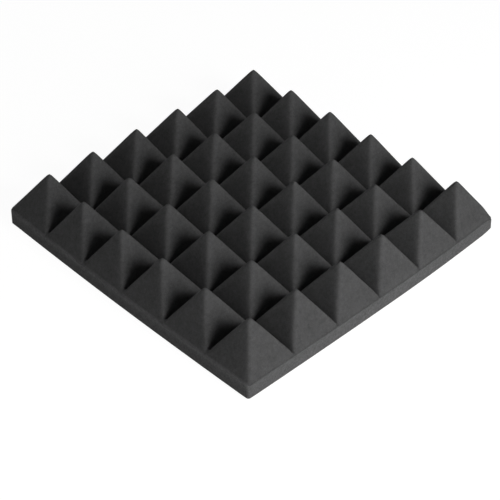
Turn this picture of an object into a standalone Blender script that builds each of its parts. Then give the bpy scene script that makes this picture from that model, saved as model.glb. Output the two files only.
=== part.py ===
# Pyramid acoustic foam tile with a peel-and-stick back.
#
# The tile is one block of open-cell foam: a flat slab with a square field of
# pyramids rising from it. Under it lie an adhesive film and a release liner,
# which is slit down the middle so that each half pulls off towards its own side.
# Metres, +Z up. The origin is at the centre of the back, where the liner rests.

import math

import bmesh
import bpy

# Foam block
TILE_SIDE = 0.300
PYRAMIDS_PER_SIDE = 6
SLAB_THICKNESS = 0.0145  # from the back to the bottom of the valleys
PYRAMID_HEIGHT = 0.0375  # from the bottom of the valleys to the rounded tips
TIP_RADIUS = 0.0030
FOOT_HEIGHT = 0.0042  # of the steeper foot that a flank stands on
FOOT_WIDTH = 0.0014  # of the foot, from the middle of a valley
RIDGE_RADIUS = 0.0032  # where the ridges leave the foot
RIM_DROP = 0.0020  # the slab's softened upper rim, down its wall
RIM_INSET = 0.0010  # and in over its top
RIDGE_FACETS = 2  # round each ridge
TIP_FACETS = 2  # from the flanks up to the tip

# Adhesive film and release liner
FILM_THICKNESS = 0.0002
FILM_INSET = 0.0025  # from the foam's edge
LINER_THICKNESS = 0.0002
LINER_INSET = 0.0015
LINER_SLIT = 0.0008
CUT_CORNER_RADIUS = 0.004  # outer corners of the film and the liner
CUT_CORNER_FACETS = 6

SEAT_GAP = 0.0003  # between faces that rest on each other
WELD_DISTANCE = 0.000001

# Levels, from the liner up
liner_bottom = 0.0
liner_top = liner_bottom + LINER_THICKNESS
film_bottom = liner_top + SEAT_GAP
film_top = film_bottom + FILM_THICKNESS
slab_bottom = film_top + SEAT_GAP
slab_top = slab_bottom + SLAB_THICKNESS

pitch = TILE_SIDE / PYRAMIDS_PER_SIDE
tile_edge = TILE_SIDE / 2


def clear_scene():
    for obj in list(bpy.data.objects):
        bpy.data.objects.remove(obj, do_unlink=True)


def material(name, colour, roughness):
    made = bpy.data.materials.new(name)
    made.use_nodes = True
    shader = made.node_tree.nodes["Principled BSDF"]
    shader.inputs["Base Color"].default_value = (*colour, 1.0)
    shader.inputs["Roughness"].default_value = roughness
    shader.inputs["Metallic"].default_value = 0.0
    return made


def add_object(name, bm, made_of):
    bmesh.ops.remove_doubles(bm, verts=bm.verts, dist=WELD_DISTANCE)
    bmesh.ops.recalc_face_normals(bm, faces=bm.faces)
    mesh = bpy.data.meshes.new(name)
    bm.to_mesh(mesh)
    bm.free()
    mesh.materials.append(made_of)
    obj = bpy.data.objects.new(name, mesh)
    bpy.context.scene.collection.objects.link(obj)
    return obj


def rounded_outline(low, high, radii, facets):
    """Points round a rectangle from its +X +Y corner, one arc for each corner's radius.

    Every outline has the same count, so that outlines of unlike radii can be
    lofted. Where a radius is 0, the points of its arc coincide and are welded.
    """
    points = []
    for quarter, radius in enumerate(radii):
        centre_x = high[0] - radius if quarter in (0, 3) else low[0] + radius
        centre_y = high[1] - radius if quarter in (0, 1) else low[1] + radius
        for step in range(facets + 1):
            angle = (quarter + step / facets) * math.pi / 2
            x = centre_x + radius * math.cos(angle)
            y = centre_y + radius * math.sin(angle)
            points.append((x, y))
    return points


# Foam block


def flank_slope():
    """Slope of the flat flanks, which touch the tip's ball and stand on the foot."""
    peak = PYRAMID_HEIGHT
    for _ in range(20):
        slope = math.atan2(peak - FOOT_HEIGHT, pitch / 2 - FOOT_WIDTH)
        peak = PYRAMID_HEIGHT + TIP_RADIUS * (1 / math.cos(slope) - 1)
    return slope


def pyramid_sections():
    """(half width, corner radius, height above the valleys) of each section, going up.

    The base is square with sharp corners, and a steep foot rises from it. From the
    top of the foot to the tangent circle of the tip the flanks are flat and the
    ridges are cones, and the tip is part of a ball.
    """
    slope = flank_slope()
    sections = [
        (pitch / 2, 0.0, 0.0),
        (pitch / 2 - FOOT_WIDTH, RIDGE_RADIUS, FOOT_HEIGHT),
    ]
    ball_centre = PYRAMID_HEIGHT - TIP_RADIUS
    for facet in range(TIP_FACETS + 1):
        angle = slope * (1 - facet / TIP_FACETS)
        across = TIP_RADIUS * math.sin(angle)
        sections.append((across, across, ball_centre + TIP_RADIUS * math.cos(angle)))
    return sections


def section_loop(bm, centre, half, radius, z):
    """Vertices of one section, kept inside the softened rim of the slab."""
    low = (centre[0] - half, centre[1] - half)
    high = (centre[0] + half, centre[1] + half)
    limit = tile_edge - RIM_INSET
    loop = []
    for x, y in rounded_outline(low, high, [radius] * 4, RIDGE_FACETS):
        inner_x = max(-limit, min(limit, x))
        inner_y = max(-limit, min(limit, y))
        loop.append(bm.verts.new((inner_x, inner_y, z)))
    return loop


def loft_pyramid(bm, centre):
    loops = [
        section_loop(bm, centre, half, radius, slab_top + height)
        for half, radius, height in pyramid_sections()
    ]
    for lower, upper in zip(loops, loops[1:]):
        for i, low in enumerate(lower):
            j = (i + 1) % len(lower)
            bm.faces.new((low, lower[j], upper[j], upper[i]))


def drop_rim(bm, rim, z):
    """Extrudes the rim's edges to the tile's full side at height z, and returns the new rim."""
    extruded = bmesh.ops.extrude_edge_only(bm, edges=rim)["geom"]
    for vert in [item for item in extruded if isinstance(item, bmesh.types.BMVert)]:
        for axis in (0, 1):
            if abs(vert.co[axis]) > tile_edge - pitch / 2:
                vert.co[axis] = math.copysign(tile_edge, vert.co[axis])
        vert.co.z = z
    return [item for item in extruded if isinstance(item, bmesh.types.BMEdge) and item.is_boundary]


def build_foam(foam):
    bm = bmesh.new()
    lines = [-tile_edge + (index + 0.5) * pitch for index in range(PYRAMIDS_PER_SIDE)]
    for x in lines:
        for y in lines:
            loft_pyramid(bm, (x, y))
    bmesh.ops.remove_doubles(bm, verts=bm.verts, dist=WELD_DISTANCE)
    rim = [edge for edge in bm.edges if edge.is_boundary]
    wall_top = drop_rim(bm, rim, slab_top - RIM_DROP)
    wall_bottom = drop_rim(bm, wall_top, slab_bottom)
    bmesh.ops.edgeloop_fill(bm, edges=wall_bottom)
    tile = add_object("foam_tile", bm, foam)
    tile.data.shade_smooth()
    tile.data.set_sharp_from_angle(angle=math.radians(35))


# Film and liner


def die_cut_sheet(name, low, high, radii, z, thickness, made_of):
    bm = bmesh.new()
    outline = rounded_outline(low, high, radii, CUT_CORNER_FACETS)
    face = bm.faces.new([bm.verts.new((x, y, z)) for x, y in outline])
    raised = bmesh.ops.extrude_face_region(bm, geom=[face])["geom"]
    verts = [item for item in raised if isinstance(item, bmesh.types.BMVert)]
    bmesh.ops.translate(bm, verts=verts, vec=(0, 0, thickness))
    add_object(name, bm, made_of)


def build_film(adhesive):
    edge = tile_edge - FILM_INSET
    radii = [CUT_CORNER_RADIUS] * 4
    die_cut_sheet(
        "adhesive_film", (-edge, -edge), (edge, edge), radii, film_bottom, FILM_THICKNESS, adhesive
    )


def build_liner(paper):
    """Two halves, rounded at the tile's corners and square at the slit between them."""
    edge = tile_edge - LINER_INSET
    slit = LINER_SLIT / 2
    round_left = [0.0, CUT_CORNER_RADIUS, CUT_CORNER_RADIUS, 0.0]
    round_right = [CUT_CORNER_RADIUS, 0.0, 0.0, CUT_CORNER_RADIUS]
    for side, low_x, high_x, radii in (
        ("left", -edge, -slit, round_left),
        ("right", slit, edge, round_right),
    ):
        name = "release_liner_" + side
        die_cut_sheet(
            name, (low_x, -edge), (high_x, edge), radii, liner_bottom, LINER_THICKNESS, paper
        )


def main():
    clear_scene()
    build_foam(material("charcoal_foam", (0.075, 0.075, 0.076), 0.95))
    build_film(material("clear_adhesive", (0.62, 0.60, 0.54), 0.25))
    build_liner(material("liner_paper", (0.80, 0.77, 0.68), 0.55))


main()
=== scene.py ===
import math

import bmesh
import bpy
import numpy as np
from mathutils import Matrix, Vector


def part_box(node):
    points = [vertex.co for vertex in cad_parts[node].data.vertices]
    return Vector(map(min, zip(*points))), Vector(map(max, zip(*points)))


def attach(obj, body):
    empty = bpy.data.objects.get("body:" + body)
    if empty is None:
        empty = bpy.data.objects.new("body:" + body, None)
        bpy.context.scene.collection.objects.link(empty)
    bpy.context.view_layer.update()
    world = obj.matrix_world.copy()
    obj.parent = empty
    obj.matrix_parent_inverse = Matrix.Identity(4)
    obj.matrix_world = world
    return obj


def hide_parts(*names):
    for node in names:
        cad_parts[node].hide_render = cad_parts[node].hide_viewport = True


# A pyramid foam tile on its back, with the adhesive film and split release liner under it.
# Metres, +Z up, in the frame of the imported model.

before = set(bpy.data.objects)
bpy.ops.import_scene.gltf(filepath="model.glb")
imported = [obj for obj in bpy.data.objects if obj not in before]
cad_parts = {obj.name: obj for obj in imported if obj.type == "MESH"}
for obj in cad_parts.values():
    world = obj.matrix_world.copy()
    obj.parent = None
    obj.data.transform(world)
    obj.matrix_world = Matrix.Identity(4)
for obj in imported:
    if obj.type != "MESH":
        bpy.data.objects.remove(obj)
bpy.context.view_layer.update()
print("frame loaded:", ", ".join(sorted(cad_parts)))

foamLow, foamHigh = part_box("foam_tile")

millimetre = 0.001  # which the tables of unevenness are in
tolerance = 0.00001  # within which two heights count as one
tiny = 1e-9  # keeps a divisor off zero


# Node trees

class Wire:  # a node's output that can be calculated with
    def __init__(self, bench, socket):
        self.bench = bench
        self.socket = socket

    def math(self, operation, first, second):
        return self.bench.node("ShaderNodeMath", {"operation": operation}, {0: first, 1: second})

    def __add__(self, other):
        return self.math("ADD", self, other)

    def __sub__(self, other):
        return self.math("SUBTRACT", self, other)

    def __rsub__(self, other):
        return self.math("SUBTRACT", other, self)

    def __mul__(self, other):
        return self.math("MULTIPLY", self, other)

    __radd__ = __add__
    __rmul__ = __mul__


class Bench:  # the nodes of a material or the world
    def __init__(self, owner):
        self.owner = owner
        owner.use_nodes = True
        self.tree = owner.node_tree
        self.tree.nodes.clear()

    def node(self, kind, settings=None, inputs=None, output=0):
        made = self.tree.nodes.new(kind)
        for name, value in (settings or {}).items():
            setattr(made, name, value)
        for name, value in (inputs or {}).items():
            if isinstance(value, Wire):
                self.tree.links.new(value.socket, made.inputs[name])
            else:
                made.inputs[name].default_value = value
        return Wire(self, made.outputs[output])

    def mixColour(self, factor, first, second):
        inputs = {0: factor, 6: first, 7: second}
        return self.node("ShaderNodeMix", {"data_type": "RGBA"}, inputs, 2)

    def fade(self, value, low, high, first=0.0, last=1.0):  # from first at low to last at high
        inputs = {0: value, 1: low, 2: high, 3: first, 4: last}
        return self.node("ShaderNodeMapRange", None, inputs)

    def finish(self, shader, kind="ShaderNodeOutputMaterial"):
        output = self.tree.nodes.new(kind)
        self.tree.links.new(shader.socket, output.inputs["Surface"])
        return self.owner


def materialBench(name):
    return Bench(bpy.data.materials.new(name))


def grey(value):
    return (value, value, value, 1.0)


# Selecting and shaping

def startPiece(obj, name):
    obj.name = name
    obj.data.name = name
    obj.data.materials.clear()
    return obj


def onlySelect(*objs):
    bpy.ops.object.select_all(action="DESELECT")
    for obj in objs:
        obj.select_set(True)
    bpy.context.view_layer.objects.active = objs[0]


def pick(obj, verts=None, edges=None):  # selects in edit mode by a test on each element
    bm = bmesh.from_edit_mesh(obj.data)
    bpy.ops.mesh.select_all(action="DESELECT")
    for items, test in ((bm.verts, verts), (bm.edges, edges)):
        if test:
            for item in items:
                if test(item):
                    item.select_set(True)
    bmesh.update_edit_mesh(obj.data)


def applyModifier(obj, name, kind, **settings):
    modifier = obj.modifiers.new(name, kind)
    for key, value in settings.items():
        setattr(modifier, key, value)
    onlySelect(obj)
    bpy.ops.object.modifier_apply(modifier=modifier.name)


def readPoints(obj):
    points = np.empty(len(obj.data.vertices) * 3)
    obj.data.vertices.foreach_get("co", points)
    return points.reshape(-1, 3)


def writePoints(obj, points):
    obj.data.vertices.foreach_set("co", points.ravel())
    obj.data.update()


# The tile lies with its corners curled up a little, as foam does out of its packet

rest = {
    # each corner's side in X and Y, lift, reach from the corner to where the tile lies flat, and
    # the share of its thickness that the slab has lost there
    "corners": [
        (-1, -1, 0.0011, 0.175, 0.02),
        (1, -1, 0.0048, 0.130, 0.34),
        (-1, 1, 0.0020, 0.175, -0.06),
        (1, 1, 0.0006, 0.175, 0.05),
    ],
    "pinchReach": 0.014,
    "pinchLevel": 0.007,  # that the slab is pinched towards
    "pinchEnd": 0.026,  # height from which the pyramids keep their shape
    "pinchFade": 0.009,
    "leftBow": 0.0010,  # outwards, in the middle of a wall
    "rightBow": 0.0006,
}


def settle(obj, follow=1.0):  # follow is the share of the curl that a loose piece takes up
    points = readPoints(obj)
    x, y, z = points.T.copy()
    half = foamHigh.x
    points[:, 0] -= rest["leftBow"] * np.clip(-x / half, 0, None) ** 3 * (1 - (y / half) ** 2)
    points[:, 1] -= rest["rightBow"] * np.clip(-y / half, 0, None) ** 3 * (1 - (x / half) ** 2)
    for sideX, sideY, lift, reach, pinch in rest["corners"]:
        awayX = x - sideX * half
        awayY = y - sideY * half
        away = np.hypot(awayX, awayY) + tiny
        share = np.clip(1 - away / reach, 0, None)
        tilt = 2 * lift * share / reach / away
        points[:, 0] += tilt * awayX * z
        points[:, 1] += tilt * awayY * z
        points[:, 2] += lift * follow * share**2
        near = np.clip(1 - away / rest["pinchReach"], 0, None) ** 2
        below = np.clip((rest["pinchEnd"] - z) / rest["pinchFade"], 0, 1)
        points[:, 2] -= (z - rest["pinchLevel"]) * pinch * near * below
    writePoints(obj, points)


# Foam tile

foamTile = {
    "bottom": 0.0004,  # on the film, which lies on the liner
    "cells": 6,
    "cuts": 27,  # across each side of a pyramid's foot
    "slabThickness": 0.0145,
    "tipShift": (0.0005, 0.0),  # the tile isn't cut quite through the middle of its valleys
    "footShift": (-0.0004, -0.0011),
    "mouthShift": (0.0005, -0.0009),  # of the valleys' ends in the walls
    "lowLedges": (0.0019, 0.0016),  # from the outer pyramids' feet to the walls at -X and -Y
    "highLedges": (0.0008, 0.0006),  # and at +X and +Y
    "peakOver": 0.0011,  # the sharp peak over the rounded tip
    # unevenness in mm, a row for each line of tips, and of the feet's corners between them. A
    # separate program fitted these two tables to the photo: they aren't sizes chosen by hand
    "tipNudges": [
        ((-0.47, 0.43, -0.03), (-0.3, 0.09, -0.17), (0.04, -0.44, -0.35),
         (0.54, -0.53, 0.02), (0.47, -1.54, -0.92), (1.27, -1.01, 0.23)),
        ((-0.29, -0.02, -0.27), (-0.23, -0.52, -0.63), (-0.2, -0.2, -0.35),
         (0.23, -1.09, -0.73), (-0.43, -1.12, -1.32), (0.45, -0, 0.37)),
        ((-0.52, 0.39, -0.11), (0.02, -0.13, -0.09), (0.21, -0.17, 0.02),
         (0.39, -0.59, -0.17), (-0.46, -0.73, -1.01), (0.27, 0.75, 0.88)),
        ((-0.51, 0.65, 0.11), (-0.06, 0.3, 0.2), (0.46, -0.11, 0.29),
         (0.6, -0.57, 0.03), (-0.27, -0.69, -0.8), (-0.08, 0.82, 0.63)),
        ((-0.4, 0.87, 0.4), (-0.5, 0.74, 0.2), (0.26, 0.23, 0.44),
         (0.56, -0.71, -0.12), (-0.12, -0.94, -0.91), (-0.3, 0.77, 0.42)),
        ((1.19, -0.13, 0.9), (0.36, 0.5, 0.74), (1.32, 0.28, 1.36),
         (1.14, -0.15, 0.86), (0.52, -0.62, -0.09), (-0.73, 0.52, -0.19)),
    ],
    "footNudges": [
        ((0, 0), (0.7, 0), (0.6, 0), (1, 0), (1.6, 0), (2, 0), (0, 0)),
        ((0, -0.2), (-0.4, -1.1), (-0.2, -0.6), (-0.5, -0.2), (-0.3, 0.7), (-0.1, -1.2), (0, 1.3)),
        ((0, -0.3), (-0.4, -0.8), (-0.4, -0.8), (-0.3, -0.4), (-0.3, 0.2), (-0.5, -0.7), (0, 0.9)),
        ((0, -0.2), (-0.2, -0.4), (-0.4, -0.4), (-0.6, -0.3), (-0.8, -0.3), (-0.9, -0.9), (0, 1.1)),
        ((0, 0.3), (-0.4, -0.3), (-0.1, -0.1), (-0.5, -0.2), (-0.7, -0.5), (-1.2, -1.1), (0, 1.2)),
        ((0, 0.2), (-1.1, -1.5), (-1.2, -1.1), (-1.3, -0.9), (-1.8, -0.9), (-1.8, -2), (0, 1.4)),
        ((0, 0), (1, 0), (0.5, 0), (0.6, 0), (1, 0), (1.2, 0), (0, 0)),
    ],
    # the rim's rings: share of the way from the feet to the wall, and drop
    "rim": [
        (0.08, 0.0), (0.35, 0.0002), (0.6, 0.0005), (0.82, 0.0010), (0.95, 0.0018), (1.0, 0.0028)
    ],
    "cornerRadius": 0.0022,  # of the slab's four upright edges
    "wallStep": 0.0016,  # between the rings of the walls
    "underEdge": 0.0005,  # height of the soft edge round the underside
    "underShare": 0.9965,  # of the tile's side, inside it
    "smoothing": 0.5,
    "creaseRounds": 2,  # of smoothing, for the ridges themselves
    "pillowRounds": 32,  # and for the slight roundness of the flanks beside them
    "pillowShare": 0.35,
    "crestRounding": 0.0015,  # by which a point of a ridge moves as the flanks are rounded
    "softFrom": 0.0008,  # heights above the valleys between which the smoothing sets in
    "softFull": 0.006,
    "swell": 0.0010,  # of the flanks, which bulge a little over straight ones
    "swellFrom": 0.0065,  # height above the valleys where they have all of it
    "footSpread": 0.0016,  # of the outer feet towards the walls
    "spreadFade": 0.08,  # of a pitch, over which it fades towards the valleys
    "footRoom": 0.0002,  # that it leaves there
    "footDip": 0.0006,  # of the spread feet and the ledge under them
    "dipDepth": 0.0035,  # under the slab's top, where the dip has faded out
    "mouthRise": 0.0036,  # of the valleys' ends over their floor
    "mouthSlope": 1.45,  # up from the wall, as on the flanks beside them
    "mouthLength": 0.0055,  # from there back down to the floor
    "mouthStart": 0.0001,  # from the spread feet
    "mouthInset": 0.02,  # from the walls that run along X, which have no such ends
    "ledgeDepth": 0.0008,  # under the slab's top, as deep as a raised ledge may have been
}

foamSkin = {
    # scale, detail and roughness of a noise, and its share of the tone
    "cloud": (38.0, 5.0, 0.55, 0.024),
    "blotch": (190.0, 2.0, 0.55, 0.030),
    "grain": (420.0, 3.0, 0.7, 0.060),
    "speck": (640.0, 2.0, 0.8, 0.11),  # on the side cuts only
    "tone": 0.082,
    "cells": 1250.0,
    "fineCells": 3100.0,
    "warp": 500.0,
    "bend": 0.0006,  # of the cells, out of their regular shape
    "strutGain": 0.022,
    "pitLoss": 0.012,
    "sawLines": (60.0, 60.0, 2600.0),
    "sawGain": 0.010,
    "lintScale": 150.0,
    "lintSize": (0.035, 0.075),
    "lintGain": 0.035,
    "cutAndPaintedLightGain": 0.32,  # the sides, cut by a blade, are lighter: partly the cut itself, partly painted light
    "cutFrom": 0.0004,  # under the slab's top
    "cutFade": 0.0012,
    "valleyShadeLoss": 0.8,  # painted shade that darkens the valleys
    "valleyShadeHeight": 0.0048,
    "valleyShadeAlong": 0.4,  # by this share of it on the flanks that face along X
    "valleyShadeEnd": 0.93,  # of the way out to the walls
    "valleyShadeFade": 0.05,
    "turn": 0.1,  # of a pitch, round a ridge
    "ridgeHighlightGain": 0.18,  # painted highlight on the ridges and tips
    "rimHighlightGain": 0.5,  # painted highlight, rising towards the top of the walls that run along Y
    "rimFrom": 0.005,  # height on the wall
    "rimFull": 0.0138,
    "wallFrom": 0.996,  # of the way out, where the walls begin
    "wallFade": 0.002,
}


def foamTileBlock(shape):
    side = foamHigh.x - foamLow.x
    edge = side / 2
    bottom = shape["bottom"]
    slabTop = foamLow.z + shape["slabThickness"]
    bpy.ops.object.select_all(action="DESELECT")
    cells = shape["cells"]
    bpy.ops.mesh.primitive_grid_add(
        x_subdivisions=cells, y_subdivisions=cells, size=side, location=(0, 0, slabTop)
    )
    foam = startPiece(bpy.context.object, "foam_block")
    bpy.ops.object.transform_apply(location=True, rotation=True, scale=True)

    bpy.ops.object.mode_set(mode="EDIT")
    bpy.ops.mesh.select_all(action="SELECT")
    bpy.ops.mesh.poke(offset=foamHigh.z - slabTop + shape["peakOver"], use_relative_offset=False)
    low = [-edge + ledge for ledge in shape["lowLedges"]]
    high = [edge - ledge for ledge in shape["highLedges"]]
    bm = bmesh.from_edit_mesh(foam.data)
    onEdge = edge - millimetre
    for vert in bm.verts:
        isTip = vert.co.z > (slabTop + foamHigh.z) / 2
        lines = [(vert.co[axis] + edge) / side * cells for axis in (0, 1)]
        column, row = [math.floor(line) if isTip else round(line) for line in lines]
        nudge = shape["tipNudges" if isTip else "footNudges"][row][column]
        shift = shape["tipShift" if isTip else "footShift"]
        for axis in (0, 1):
            if vert.co[axis] < -onEdge:
                vert.co[axis] = low[axis]
            elif vert.co[axis] > onEdge:
                vert.co[axis] = high[axis]
            else:
                vert.co[axis] += shift[axis] + nudge[axis] * millimetre
        if isTip:
            vert.co.z += nudge[2] * millimetre
    bmesh.update_edit_mesh(foam.data)
    bpy.ops.mesh.select_all(action="SELECT")
    bpy.ops.mesh.subdivide(number_cuts=shape["cuts"])

    # the ledge, the rim and the walls are drawn out of the open edge, one ring at a time
    rings = [(share, slabTop - drop) for share, drop in shape["rim"]]
    wallTop = rings[-1][1]
    wallEnd = bottom + shape["underEdge"]
    wallRings = round((wallTop - bottom) / shape["wallStep"])
    for ring in range(1, wallRings):
        rings.append((1.0, wallTop + (wallEnd - wallTop) * ring / (wallRings - 1)))
    pick(foam, edges=lambda item: item.is_boundary)
    level = slabTop
    corners = (low, high)
    for share, nextLevel in rings:
        nextLow = [foot + (-edge - foot) * share for foot in low]
        nextHigh = [foot + (edge - foot) * share for foot in high]
        dropRing(nextLevel - level)
        stretchRing(corners, (nextLow, nextHigh))
        corners, level = (nextLow, nextHigh), nextLevel
    dropRing(bottom - level)
    under = shape["underShare"]
    bpy.ops.transform.resize(value=(under, under, 1), center_override=(0, 0, 0))
    bpy.ops.mesh.fill_grid()
    bpy.ops.mesh.select_all(action="SELECT")
    bpy.ops.mesh.normals_make_consistent(inside=False)
    bpy.ops.object.mode_set(mode="OBJECT")

    soften(foam, shape, slabTop)
    markSurface(foam, foamSkin, slabTop)
    roundUprights(foam, shape["cornerRadius"])
    settle(foam)
    onlySelect(foam)
    bpy.ops.object.shade_smooth()
    return foam


def dropRing(drop):
    bpy.ops.mesh.extrude_edges_move(TRANSFORM_OT_translate={"value": (0, 0, drop)})


def stretchRing(old, new):  # the selected ring, from one pair of opposite corners to another
    factors = []
    fixed = []
    for axis in (0, 1):
        factor = (new[1][axis] - new[0][axis]) / (old[1][axis] - old[0][axis])
        factors.append(factor)
        away = 1 - factor
        fixed.append((new[0][axis] - old[0][axis] * factor) / away if abs(away) > tiny else 0.0)
    bpy.ops.transform.resize(value=(*factors, 1), center_override=(*fixed, 0))


def addMark(foam, name, values):
    mark = foam.data.attributes.new(name, "FLOAT", "POINT")
    mark.data.foreach_set("value", values.astype(np.float32))


def markSurface(foam, skin, slabTop):  # the valleys' painted shade, the cut sides and the painted highlight up the walls along Y, for the material
    x, y, z = readPoints(foam).T
    half = foamHigh.x
    outward = np.maximum(np.abs(x), np.abs(y)) / half
    towardsRim = np.clip((outward - skin["valleyShadeEnd"]) / skin["valleyShadeFade"], 0, 1)
    pitch = 2 * half / foamTile["cells"]
    byX, byY = [
        np.abs((place - shift + half) / pitch % 1 - 0.5)
        for place, shift in zip((x, y), foamTile["footShift"])
    ]
    facingY = np.clip((byY - byX) / skin["turn"] + 0.5, 0, 1)  # the flanks that shade each other
    # painted shade: darkest low in the valleys, fading out towards the walls, weaker on the flanks
    # that face along X
    valleyShade = np.exp(-np.clip(z - slabTop, 0, None) / skin["valleyShadeHeight"]) * (1 - towardsRim)
    valleyShade *= skin["valleyShadeAlong"] + (1 - skin["valleyShadeAlong"]) * facingY
    sideCut = np.clip((slabTop - skin["cutFrom"] - z) / skin["cutFade"], 0, 1)
    upTheWall = np.clip((z - skin["rimFrom"]) / (skin["rimFull"] - skin["rimFrom"]), 0, 1)
    onWall = np.clip((outward - skin["wallFrom"]) / skin["wallFade"], 0, 1)
    # painted highlight, growing up the walls that run along Y
    rimHighlight = upTheWall**3 * (np.abs(x) > np.abs(y)) * onWall
    addMark(foam, "valleyShade", valleyShade)
    addMark(foam, "sideCut", sideCut)
    addMark(foam, "rimHighlight", rimHighlight)


def roundUprights(foam, radius):
    points = readPoints(foam)
    centre = foamHigh.x - radius
    over = np.abs(points[:, :2]) - centre
    inCorner = over.min(axis=1) > 0
    squareness = over.max(axis=1) / np.maximum(np.hypot(over[:, 0], over[:, 1]), tiny)
    pulled = np.sign(points[:, :2]) * (centre + over * squareness[:, None])
    points[inCorner, :2] = pulled[inCorner]
    writePoints(foam, points)


def soften(foam, shape, slabTop):
    points = readPoints(foam)
    above = (points[:, 2] - slabTop - shape["softFrom"]) / (shape["softFull"] - shape["softFrom"])
    group = foam.vertex_groups.new(name="flanks")
    for index, share in enumerate(np.clip(above, 0, 1)):
        if share > 0:
            group.add([index], share, "REPLACE")
    inGroup = {"factor": shape["smoothing"], "vertex_group": "flanks"}
    applyModifier(foam, "roundCreases", "SMOOTH", iterations=shape["creaseRounds"], **inGroup)
    creased = readPoints(foam)
    applyModifier(foam, "pillow", "SMOOTH", iterations=shape["pillowRounds"], **inGroup)
    pillowed = readPoints(foam)
    foam.vertex_groups.clear()
    points = creased + (pillowed - creased) * shape["pillowShare"]
    writePoints(foam, points)
    rounding = np.linalg.norm(pillowed - creased, axis=1)
    # where the ridges were rounded most, which the material lights with a painted highlight
    addMark(foam, "crest", np.clip(rounding / shape["crestRounding"], 0, 1))

    normals = np.empty_like(points)
    foam.data.vertex_normals.foreach_get("vector", normals.ravel())
    rise = np.clip((points[:, 2] - slabTop) / shape["swellFrom"], 0, 1)
    rise = rise * (2 - rise)
    points += normals * (rise * shape["swell"])[:, None]
    spreadFeet(points, 1 - rise, shape, slabTop)
    fillMouths(points, shape, slabTop)
    writePoints(foam, points)


def spreadFeet(points, missing, shape, slabTop):  # the outer flanks stay flat down to the ledges
    half = foamHigh.x
    pitch = 2 * half / shape["cells"]
    flat = points.copy()
    for axis in (0, 1):
        along = (flat[:, 1 - axis] - shape["mouthShift"][1 - axis] + half) / pitch % 1 - 0.5
        for side, ledges in ((-1, shape["lowLedges"]), (1, shape["highLedges"])):
            ledge = ledges[axis]
            inward = half - side * flat[:, axis]
            across = 0.5 - np.maximum(inward, ledge) / pitch
            share = np.clip((across - np.abs(along)) / shape["spreadFade"] + 1, 0, 1)
            share *= inward < pitch / 2
            spread = min(shape["footSpread"], max(0, ledge - shape["footRoom"]))
            onFlank = flat[:, 2] > slabTop - tolerance
            level = np.clip(1 - (slabTop - flat[:, 2]) / shape["dipDepth"], 0, 1)
            outwards = np.clip(inward / ledge, 0, 1) * (level > 0)
            points[:, axis] += side * spread * share * np.where(onFlank, missing, outwards)
            points[:, 2] -= shape["footDip"] * share * np.where(onFlank, missing, level)


def fillMouths(points, shape, slabTop):  # at -X and +X, the flanks run on over the valleys' ends
    highest = shape["mouthRise"]
    between = np.abs(points[:, 1]) < foamHigh.y - shape["mouthInset"]
    between &= points[:, 2] > slabTop - shape["ledgeDepth"]
    for side, ledges in ((-1, shape["lowLedges"]), (1, shape["highLedges"])):
        spreadFoot = max(shape["footRoom"], ledges[0] - shape["footSpread"])
        foot = spreadFoot + shape["mouthStart"]
        inward = foamHigh.x - side * points[:, 0]
        front = (inward - foot) * shape["mouthSlope"]
        past = inward - foot - highest / shape["mouthSlope"]
        level = slabTop + np.minimum(front, highest * (1 - past / shape["mouthLength"]))
        fills = between & (inward > foot) & (level > points[:, 2])
        points[fills, 2] = level[fills]


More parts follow.
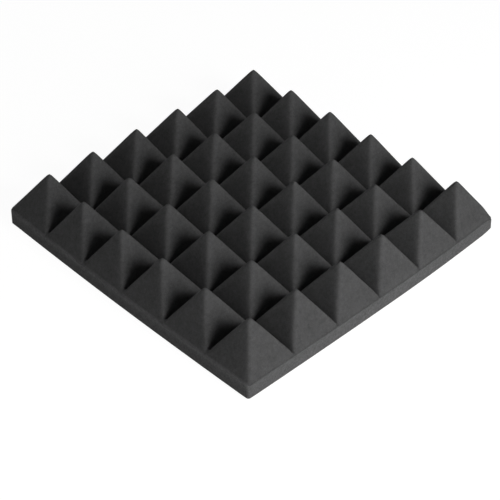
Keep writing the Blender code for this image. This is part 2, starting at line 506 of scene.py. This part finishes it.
def charcoalFoam():
    bench = materialBench("charcoalFoam")
    skin = foamSkin
    place = bench.node("ShaderNodeTexCoord", output="Object")
    marks = []
    for name in ("valleyShade", "sideCut", "rimHighlight", "crest"):
        marks.append(bench.node("ShaderNodeAttribute", {"attribute_name": name}, output="Fac"))
    valleyShade, sideCut, rimHighlight, crest = marks

    # open cells: thin struts round dark pores, in two sizes
    def cellular(scale, feature="F1"):
        inputs = {"Vector": bent, "Scale": scale}
        return bench.node("ShaderNodeTexVoronoi", {"feature": feature}, inputs)

    warp = bench.node("ShaderNodeTexNoise", None, {"Vector": place, "Scale": skin["warp"]}, 1)
    bending = {0: warp, 1: (skin["bend"],) * 3, 2: place}
    bent = bench.node("ShaderNodeVectorMath", {"operation": "MULTIPLY_ADD"}, bending)
    pores = cellular(skin["cells"])
    struts = cellular(skin["cells"], "DISTANCE_TO_EDGE")
    fine = cellular(skin["fineCells"])
    strut = bench.fade(struts, 0.02, 0.22, 1.0, 0.0)

    # wear and unevenness: clouds, the saw's faint lines, and lint
    noises = []
    for name in ("cloud", "blotch", "grain", "speck"):
        scale, detail, roughness = skin[name][:3]
        inputs = {"Vector": place, "Scale": scale, "Detail": detail, "Roughness": roughness}
        noises.append(bench.node("ShaderNodeTexNoise", None, inputs))
    cloud, blotch, grain, speck = noises
    stretched = bench.node("ShaderNodeMapping", None, {"Vector": place, "Scale": skin["sawLines"]})
    sawing = {"Vector": stretched, "Scale": 1.0, "Detail": 2.0}
    sawn = bench.node("ShaderNodeTexNoise", None, sawing)
    scattered = {"Vector": place, "Scale": skin["lintScale"]}
    lintPlace = bench.node("ShaderNodeTexVoronoi", None, scattered)
    lint = bench.fade(lintPlace, *skin["lintSize"], 1.0, 0.0)

    tone = (
        skin["tone"]
        + (cloud - 0.5) * skin["cloud"][-1]
        + (blotch - 0.5) * skin["blotch"][-1]
        + (speck - 0.5) * sideCut * skin["speck"][-1]
        + (grain - 0.5) * skin["grain"][-1]
        + strut * skin["strutGain"]
        - fine * skin["pitLoss"]
        + (sawn - 0.5) * skin["sawGain"]
    )
    # the sides lighter, partly their cut and partly painted light, and a painted highlight up the
    # walls that run along Y
    tone = tone * (sideCut * skin["cutAndPaintedLightGain"] + rimHighlight * skin["rimHighlightGain"] + 1.0)
    # painted highlight on the ridges and tips, and painted shade in the valleys
    tone = tone * (crest * skin["ridgeHighlightGain"] + 1.0) * (1.0 - valleyShade * skin["valleyShadeLoss"])
    tone = tone + lint * skin["lintGain"]
    colour = bench.node("ShaderNodeCombineColor", None, {0: tone, 1: tone, 2: tone * 1.008})
    height = strut * 0.5 - pores * 0.8 - fine * 0.3 + grain * 0.6
    relief = {"Strength": 0.35, "Distance": 0.0005, "Height": height}
    bump = bench.node("ShaderNodeBump", None, relief)
    shader = bench.node(
        "ShaderNodeBsdfPrincipled",
        None,
        {
            "Base Color": colour,
            "Roughness": grain * 0.1 + 0.88,
            "Specular IOR Level": 0.12,
            "Sheen Weight": 0.03,
            "Sheen Roughness": 0.6,
            "Normal": bump,
        },
    )
    return bench.finish(shader)


foam = foamTileBlock(foamTile)
foam.data.materials.append(charcoalFoam())
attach(foam, "root")
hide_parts("foam_tile")
print("foam tile:", len(foam.data.polygons), "faces")


# Film and liner

sheet = {
    "step": 0.006,  # between the lines that it can bend along
    "cornerZone": 0.004,  # from the tile's edges, with the corners that are rounded
    "cornerRadius": 0.004,
    "cornerSegments": 6,
    "filmBottom": 0.0002,
    "slitReach": 0.001,  # from the middle, with the edges along the slit
    "slitWander": 0.0002,
    "slitWaves": [(41, 1.0, 0), (97, 0.6, 1)],  # rate along Y, height and phase
    "linerFollow": 0.93,  # share of the foam's curl that the liner takes up
    "smoothAngle": 40,
}

filmSkin = {
    "haze": (0.55, 0.53, 0.46, 1.0),
    "clear": (0.70, 0.68, 0.61, 1.0),
    "bubble": (0.82, 0.81, 0.77, 1.0),
}

paperSkin = {
    "dull": (0.76, 0.72, 0.61, 1.0),
    "bright": (0.85, 0.82, 0.73, 1.0),
    "fleck": (0.58, 0.50, 0.37, 1.0),
    "rubbed": (0.90, 0.88, 0.82, 1.0),
    "grain": (420.0, 1900.0, 900.0),  # the fibres lie along X
}


def dieCutSheet(node, name, bottom):
    low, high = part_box(node)
    size = high - low
    counts = [max(2, round(size[axis] / sheet["step"])) for axis in (0, 1)]
    bpy.ops.object.select_all(action="DESELECT")
    bpy.ops.mesh.primitive_grid_add(
        x_subdivisions=counts[0],
        y_subdivisions=counts[1],
        size=1,
        location=((low.x + high.x) / 2, (low.y + high.y) / 2, bottom),
    )
    cut = startPiece(bpy.context.object, name)
    cut.scale = (size.x, size.y, 1)
    bpy.ops.object.transform_apply(location=True, rotation=True, scale=True)
    bpy.ops.object.mode_set(mode="EDIT")
    outer = foamHigh.x - sheet["cornerZone"]

    def isCorner(vert):
        return abs(vert.co.x) > outer and abs(vert.co.y) > outer and len(vert.link_edges) == 2

    pick(cut, verts=isCorner)
    bpy.ops.mesh.bevel(
        affect="VERTICES", offset=sheet["cornerRadius"], segments=sheet["cornerSegments"]
    )
    bpy.ops.object.mode_set(mode="OBJECT")
    points = readPoints(cut)
    slit = np.abs(points[:, 0]) < sheet["slitReach"]
    waves = sheet["slitWaves"]
    wander = sum(height * np.sin(points[:, 1] * rate + phase) for rate, height, phase in waves)
    points[slit, 0] += wander[slit] * sheet["slitWander"] / sum(wave[1] for wave in waves)
    writePoints(cut, points)
    applyModifier(cut, "thicken", "SOLIDIFY", thickness=size.z, offset=1)
    onlySelect(cut)
    bpy.ops.object.shade_smooth_by_angle(angle=math.radians(sheet["smoothAngle"]))
    return cut


def adhesiveFilm():
    bench = materialBench("adhesiveFilm")
    place = bench.node("ShaderNodeTexCoord", output="Object")
    haze = bench.node("ShaderNodeTexNoise", None, {"Vector": place, "Scale": 35.0, "Detail": 5.0})
    bubbles = bench.node("ShaderNodeTexVoronoi", None, {"Vector": place, "Scale": 260.0})
    bubble = bench.fade(bubbles, 0.05, 0.16, 1.0, 0.0)
    colour = bench.mixColour(haze, filmSkin["haze"], filmSkin["clear"])
    colour = bench.mixColour(bubble * 0.5, colour, filmSkin["bubble"])
    relief = {"Strength": 0.3, "Distance": 0.0001, "Height": bubble + haze * 0.6}
    bump = bench.node("ShaderNodeBump", None, relief)
    shader = bench.node(
        "ShaderNodeBsdfPrincipled",
        None,
        {
            "Base Color": colour,
            "Roughness": haze * 0.12 + 0.17,
            "Coat Weight": 0.4,
            "Coat Roughness": 0.15,
            "Normal": bump,
        },
    )
    return bench.finish(shader)


def linerPaper():
    bench = materialBench("linerPaper")
    place = bench.node("ShaderNodeTexCoord", output="Object")
    grain = bench.node("ShaderNodeMapping", None, {"Vector": place, "Scale": paperSkin["grain"]})
    fibrous = {"Vector": grain, "Scale": 1.0, "Detail": 5.0, "Roughness": 0.6}
    fibre = bench.node("ShaderNodeTexNoise", None, fibrous)
    cloud = bench.node("ShaderNodeTexNoise", None, {"Vector": place, "Scale": 22.0, "Detail": 5.0})
    crease = bench.node(
        "ShaderNodeTexNoise",
        {"noise_type": "RIDGED_MULTIFRACTAL"},
        {"Vector": place, "Scale": 14.0, "Detail": 2.0, "Distortion": 0.6},
    )
    patch = bench.fade(cloud, 0.36, 0.64)
    colour = bench.mixColour(patch, paperSkin["dull"], paperSkin["bright"])
    fleck = bench.fade(fibre, 0.53, 0.7, 0.0, 0.7)
    colour = bench.mixColour(fleck, colour, paperSkin["fleck"])
    rubbed = bench.fade(crease, 0.75, 1.3, 0.0, 0.35)
    colour = bench.mixColour(rubbed, colour, paperSkin["rubbed"])
    relief = {"Strength": 0.6, "Distance": 0.0012, "Height": fibre * 0.18 + crease * 0.5}
    bump = bench.node("ShaderNodeBump", None, relief)
    shader = bench.node(
        "ShaderNodeBsdfPrincipled",
        None,
        {
            "Base Color": colour,
            "Roughness": cloud * 0.15 + 0.42,
            "Coat Weight": 0.15,
            "Coat Roughness": 0.3,
            "Normal": bump,
        },
    )
    return bench.finish(shader)


film = dieCutSheet("adhesive_film", "film", sheet["filmBottom"])
film.data.materials.append(adhesiveFilm())
settle(film)
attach(film, "root")
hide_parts("adhesive_film")

paper = linerPaper()
for side in ("left", "right"):
    liner = dieCutSheet("release_liner_" + side, "liner_" + side, 0.0)
    liner.data.materials.append(paper)
    settle(liner, sheet["linerFollow"])
    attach(liner, "root")
    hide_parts("release_liner_" + side)
print("film and liner halves: die cut, curled with the foam")


# Floor, lights and camera

stage = {
    "floorSide": 12.0,
    "floorLevel": -0.0001,  # a hair under the liner
    "floorColour": 0.8,
    "glow": 1.27,  # whitens what the camera sees of the floor, under a faint shadow
    "glowShare": 0.75,
    "world": 0.01,  # strength of its light
}


def paleFloor():
    bench = materialBench("paleFloor")
    lightPath = bench.node("ShaderNodeLightPath", output="Is Camera Ray")
    matte = bench.node("ShaderNodeBsdfDiffuse", None, {"Color": grey(stage["floorColour"])})
    glow = bench.node("ShaderNodeEmission", None, {"Color": grey(1.0), "Strength": stage["glow"]})
    share = lightPath * stage["glowShare"]
    shader = bench.node("ShaderNodeMixShader", None, {0: share, 1: matte, 2: glow})
    return bench.finish(shader)


def layFloor():
    bpy.ops.object.select_all(action="DESELECT")
    place = (0, 0, stage["floorLevel"])
    bpy.ops.mesh.primitive_plane_add(size=stage["floorSide"], location=place)
    floor = startPiece(bpy.context.object, "floor")
    floor.data.materials.append(paleFloor())


def setWorld():  # white where it is seen, weak as a light
    world = bpy.data.worlds.new("studio")
    bpy.context.scene.world = world
    bench = Bench(world)
    seen = bench.node("ShaderNodeLightPath", output="Is Camera Ray")
    glossy = bench.node("ShaderNodeLightPath", output="Is Glossy Ray")
    through = bench.node("ShaderNodeLightPath", output="Is Transmission Ray")
    anySeen = bench.node("ShaderNodeMath", {"operation": "MAXIMUM"}, {0: seen, 1: glossy})
    anySeen = bench.node("ShaderNodeMath", {"operation": "MAXIMUM"}, {0: anySeen, 1: through})
    strength = bench.fade(anySeen, 0.0, 1.0, stage["world"], 1.0)
    sky = bench.node("ShaderNodeBackground", None, {"Strength": strength})
    bench.finish(sky, "ShaderNodeOutputWorld")


def softLight(name, size, place, aim, watts):
    light = bpy.data.lights.new(name, "AREA")
    light.shape = "RECTANGLE"
    light.size, light.size_y = size
    light.energy = watts
    obj = bpy.data.objects.new(name, light)
    bpy.context.scene.collection.objects.link(obj)
    obj.location = place
    obj.rotation_euler = (Vector(aim) - Vector(place)).to_track_quat("-Z", "Y").to_euler()


lamps = [  # name, size, place, aim, watts
    ("keyLow", (1.1, 0.3), (0.0, -0.98, 0.21), (0.0, 0.0, 0.02), 3.75),
    ("keyHigh", (0.5, 0.3), (0.0, -0.85, 0.53), (0.0, 0.0, 0.02), 3.6),
    ("leftFill", (1.2, 0.8), (-2.88, 0.0, 0.84), (0.0, 0.0, 0.02), 8.5),
    ("backFill", (1.2, 0.8), (0.0, 2.94, 0.62), (0.0, 0.0, 0.02), 15.0),
]

camera = {  # fitted to the photo's outline, corners and tips
    "azimuth": -45.05,  # degrees, 0 looks along +Y
    "elevation": 39.60,
    "roll": 1.085,
    "distance": 1.24865,
    "aimRight": -0.00108,
    "aimUp": -0.01864,
    "focalPixels": 1411.7,
    "framePixels": 500,
    "sensor": 36.0,
}


def setCamera():
    azimuth = math.radians(camera["azimuth"])
    elevation = math.radians(camera["elevation"])
    roll = math.radians(camera["roll"])
    back = Vector(
        (
            math.sin(azimuth) * math.cos(elevation),
            -math.cos(azimuth) * math.cos(elevation),
            math.sin(elevation),
        )
    )
    right = Vector((math.cos(azimuth), math.sin(azimuth), 0))
    up = back.cross(right)
    turnedRight = right * math.cos(roll) + up * math.sin(roll)
    turnedUp = up * math.cos(roll) - right * math.sin(roll)
    data = bpy.data.cameras.new("camera")
    data.sensor_width = camera["sensor"]
    data.lens = camera["focalPixels"] / camera["framePixels"] * camera["sensor"]
    data.clip_start = 0.01
    obj = bpy.data.objects.new("camera", data)
    bpy.context.scene.collection.objects.link(obj)
    place = (
        turnedRight * camera["aimRight"] + turnedUp * camera["aimUp"] + back * camera["distance"]
    )
    turn = Matrix((turnedRight, turnedUp, back)).transposed().to_4x4()
    obj.matrix_world = Matrix.Translation(place) @ turn
    bpy.context.scene.camera = obj


layFloor()
setWorld()
for lamp in lamps:
    softLight(*lamp)
setCamera()
bpy.context.scene.view_settings.view_transform = "Standard"
print("floor, lights and camera set")
